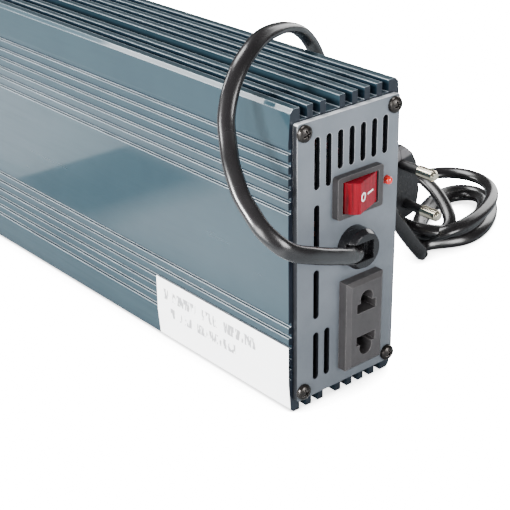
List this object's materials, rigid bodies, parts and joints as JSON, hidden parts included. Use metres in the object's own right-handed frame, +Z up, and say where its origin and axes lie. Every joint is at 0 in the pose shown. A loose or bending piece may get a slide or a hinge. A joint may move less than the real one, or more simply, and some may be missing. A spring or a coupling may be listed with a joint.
{
  "type": "power inverter",
  "caption": "Slim finned power inverter standing on edge, with slotted front panel, rocker switch, AC socket, terminals, fan and a mains cord wound in a hank.",
  "frame": {"origin": "under the middle of the body and its front and rear fittings, at the level of the lower fins' tips; the free cord, its hank and its plug are not counted", "axes": "+X across the body to the right seen from the front, -Y out of the front panel with the switch and the socket, +Z up"},
  "size_m": [0.2163, 0.2859, 0.1269],
  "materials": {
    "body_paint": "satin",
    "panel_paint": "satin",
    "black_plastic": "matt",
    "gloss_black": "glossy",
    "grey_plastic": "matt",
    "red_rocker": "glossy",
    "red_lens": "glossy",
    "red_plastic": "glossy",
    "white_print": "matt",
    "paper_label": "matt",
    "cord_jacket": "satin",
    "plug_plastic": "satin",
    "brass": "polished",
    "zinc_steel": "bright zinc",
    "black_steel": "black oxide",
    "circuit_board": "satin",
    "chip_black": "matt",
    "ferrite": "matt",
    "copper": "enamelled",
    "tape_yellow": "satin",
    "capacitor_sleeve": "glossy",
    "grey_pad": "matt",
    "bare_aluminium": "satin",
    "toroid_yellow": "matt",
    "relay_blue": "glossy",
    "fuse_orange": "clear",
    "wire_red": "satin",
    "wire_brown": "satin",
    "wire_black": "satin"
  },
  "bodies": {
    "case": {"housing": "body_paint", "front_panel": "panel_paint", "rear_panel": "panel_paint", "front_screws": "black_steel", "rear_screws": "black_steel", "side_label": "paper_label", "switch_housing": "grey_plastic", "switch_terminals": "zinc_steel", "power_led": "red_lens", "led_clip": "black_plastic", "strain_relief": "gloss_black", "ac_socket": "grey_plastic", "socket_contacts": "brass", "mains_cord": "cord_jacket", "cord_hank": "cord_jacket", "cord_lead": "cord_jacket", "plug_body": "plug_plastic", "plug_relief": "plug_plastic", "plug_sleeves": "black_plastic", "plug_pins": "brass", "fan_frame": "black_plastic", "fan_guard": "zinc_steel", "fan_screws": "zinc_steel", "red_post_base": "red_plastic", "black_post_base": "gloss_black", "terminal_studs": "brass", "terminal_nuts": "brass", "terminal_lugs": "zinc_steel", "main_board": "circuit_board", "control_board": "circuit_board", "control_chips": "chip_black", "transformer_cores": "ferrite", "transformer_bobbins": "black_plastic", "transformer_windings": "tape_yellow", "input_capacitors": "capacitor_sleeve", "bus_capacitor": "capacitor_sleeve", "input_mosfets": "chip_black", "bridge_mosfets": "chip_black", "insulating_pads": "grey_pad", "clamp_bars": "bare_aluminium", "clamp_screws": "zinc_steel", "choke_core": "toroid_yellow", "choke_winding": "copper", "changeover_relay": "relay_blue", "blade_fuses": "fuse_orange", "buzzer": "black_plastic", "dc_cables": "wire_red", "mains_wires": "wire_brown", "switch_wires": "wire_black", "led_wires": "wire_red", "fan_wires": "wire_red"},
    "rocker": {"rocker": "red_rocker", "rocker_marks": "white_print"},
    "fan": {"fan_rotor": "black_plastic"},
    "red_washer": {"red_clamp_washer": "zinc_steel"},
    "red_knob": {"red_knob": "red_plastic"},
    "black_washer": {"black_clamp_washer": "zinc_steel"},
    "black_knob": {"black_knob": "gloss_black"}
  },
  "joints": [
    {"name": "rocker_tilt", "type": "hinge", "parent": "case", "child": "rocker", "pos_m": [0.003, -0.1313, 0.0762], "axis": [0, 0, 1], "range_deg": [-40, 0]},
    {"name": "fan_spin", "type": "hinge", "parent": "case", "child": "fan", "pos_m": [0, 0.112, 0.078], "axis": [0, 1, 0], "continuous": true},
    {"name": "red_washer_travel", "type": "slide", "parent": "case", "child": "red_washer", "axis": [0, 1, 0], "range_m": [0, 0.006]},
    {"name": "red_knob_turn", "type": "hinge", "parent": "red_washer", "child": "red_knob", "pos_m": [0, 0.1236, 0.04], "axis": [0, 1, 0], "range_deg": [0, 2700]},
    {"name": "black_washer_travel", "type": "slide", "parent": "case", "child": "black_washer", "axis": [0, 1, 0], "range_m": [0, 0.006]},
    {"name": "black_knob_turn", "type": "hinge", "parent": "black_washer", "child": "black_knob", "pos_m": [0, 0.1236, 0.017], "axis": [0, 1, 0], "range_deg": [0, 2700]}
  ],
  "couplings": [
    {"joint": "red_knob_turn", "follows": "red_washer_travel", "rad_per_m": 7854},
    {"joint": "black_knob_turn", "follows": "black_washer_travel", "rad_per_m": 7854}
  ]
}
